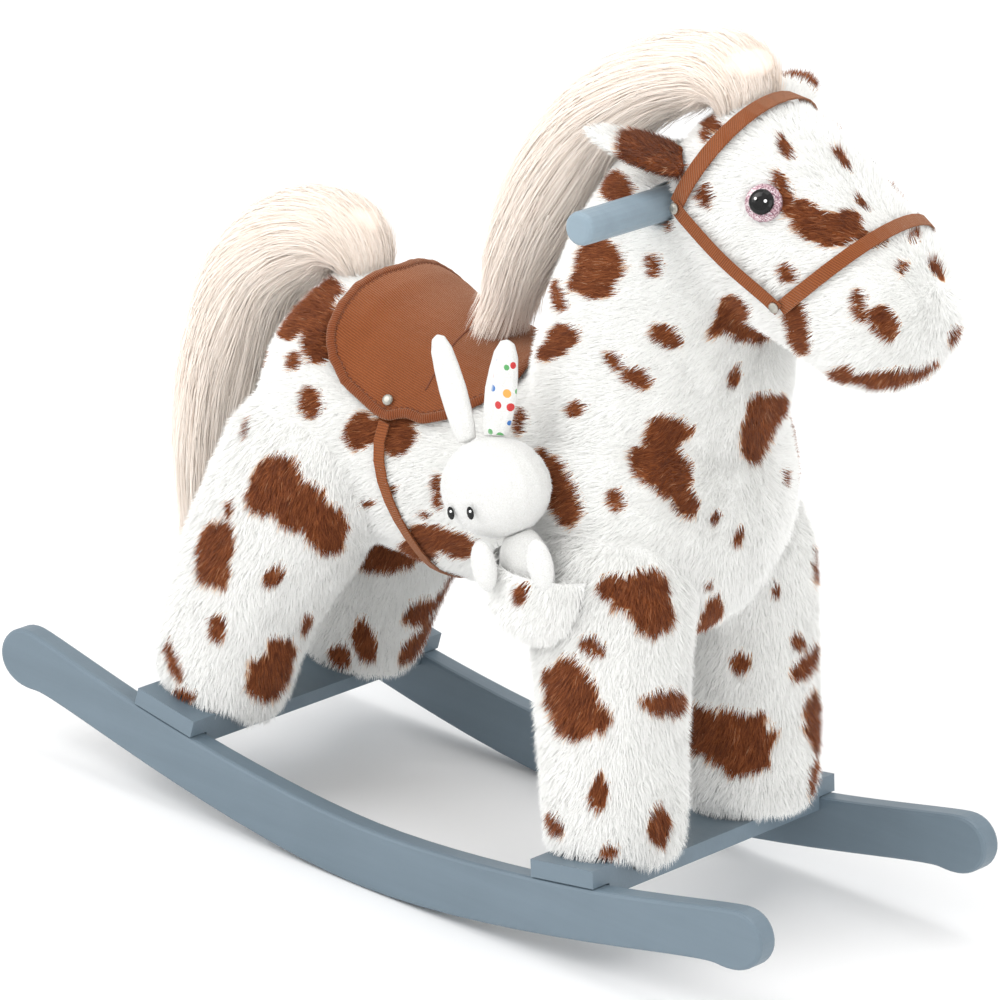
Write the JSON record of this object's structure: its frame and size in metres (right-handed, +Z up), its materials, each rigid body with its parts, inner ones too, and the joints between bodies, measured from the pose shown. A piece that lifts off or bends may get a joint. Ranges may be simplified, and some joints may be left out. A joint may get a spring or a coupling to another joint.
{
  "type": "rocking horse",
  "caption": "Plush rocking horse on two painted wooden rockers, with a twill saddle, bridle, hand bar, long mane and tail, and a small soft bunny in a side pocket",
  "frame": {"origin": "the bottom centre of the bounding box, on the floor between the two rockers' lowest points", "axes": "+X is the way the horse faces, +Y is to its left, +Z is up"},
  "size_m": [0.65, 0.29, 0.6008],
  "materials": {
    "paint": "satin blue-grey paint on wood",
    "bare_wood": "bare softwood, hidden in the stuffing",
    "steel": "plated steel",
    "plush": "short white plush pile with chestnut spots, over stuffing",
    "mane_hair": "long soft peach-cream pile",
    "saddle_twill": "brown ribbed twill, lightly padded, with a bound edge",
    "strap_tape": "brown ribbed tape",
    "eye_glitter": "clear plastic with pink glitter",
    "eye_black": "glossy black",
    "bunny_fleece": "smooth white fleece over stuffing"
  },
  "bodies": {
    "horse": {"rocker_right": "paint", "rocker_left": "paint", "cross_member_front": "paint", "cross_member_rear": "paint", "handle_bar": "paint", "leg_post_front_right": "bare_wood", "leg_post_front_left": "bare_wood", "leg_post_rear_right": "bare_wood", "leg_post_rear_left": "bare_wood", "spine_board": "bare_wood", "neck_post": "bare_wood", "head_block": "bare_wood", "rocker_screw_front_right": "steel", "rocker_screw_front_left": "steel", "rocker_screw_rear_right": "steel", "rocker_screw_rear_left": "steel", "leg_screw_front_right": "steel", "leg_screw_front_left": "steel", "leg_screw_rear_right": "steel", "leg_screw_rear_left": "steel", "saddle_rivet_right": "steel", "saddle_rivet_left": "steel", "bridle_rivet_crown_right": "steel", "bridle_rivet_crown_left": "steel", "bridle_rivet_nose_right": "steel", "bridle_rivet_nose_left": "steel", "plush_torso": "plush", "plush_neck": "plush", "plush_head": "plush", "plush_leg_front_right": "plush", "plush_leg_front_left": "plush", "plush_leg_rear_right": "plush", "plush_leg_rear_left": "plush", "ear_right": "plush", "ear_left": "plush", "bunny_pocket": "plush", "mane": "mane_hair", "eye_ring_right": "eye_glitter", "eye_ring_left": "eye_glitter", "eye_pupil_right": "eye_black", "eye_pupil_left": "eye_black", "saddle_seat": "saddle_twill", "saddle_pommel": "saddle_twill", "girth_strap": "strap_tape", "bridle_crown_strap": "strap_tape", "bridle_noseband": "strap_tape", "bridle_cheek_strap_right": "strap_tape", "bridle_cheek_strap_left": "strap_tape"},
    "tail": {"tail": "mane_hair"},
    "bunny": {"bunny_eye_right": "eye_black", "bunny_eye_left": "eye_black", "bunny_body": "bunny_fleece", "bunny_head": "bunny_fleece", "bunny_arm_right": "bunny_fleece", "bunny_arm_left": "bunny_fleece", "bunny_ear_right": "bunny_fleece", "bunny_ear_left": "bunny_fleece"}
  },
  "joints": [
    {"name": "tail_swing", "type": "hinge", "parent": "horse", "child": "tail", "pos_m": [-0.135, 0, 0.382], "axis": [0, 1, 0], "range_deg": [0, 60]},
    {"name": "bunny_lift", "type": "slide", "parent": "horse", "child": "bunny", "axis": [0, 0, 1], "range_m": [0, 0.075]}
  ]
}
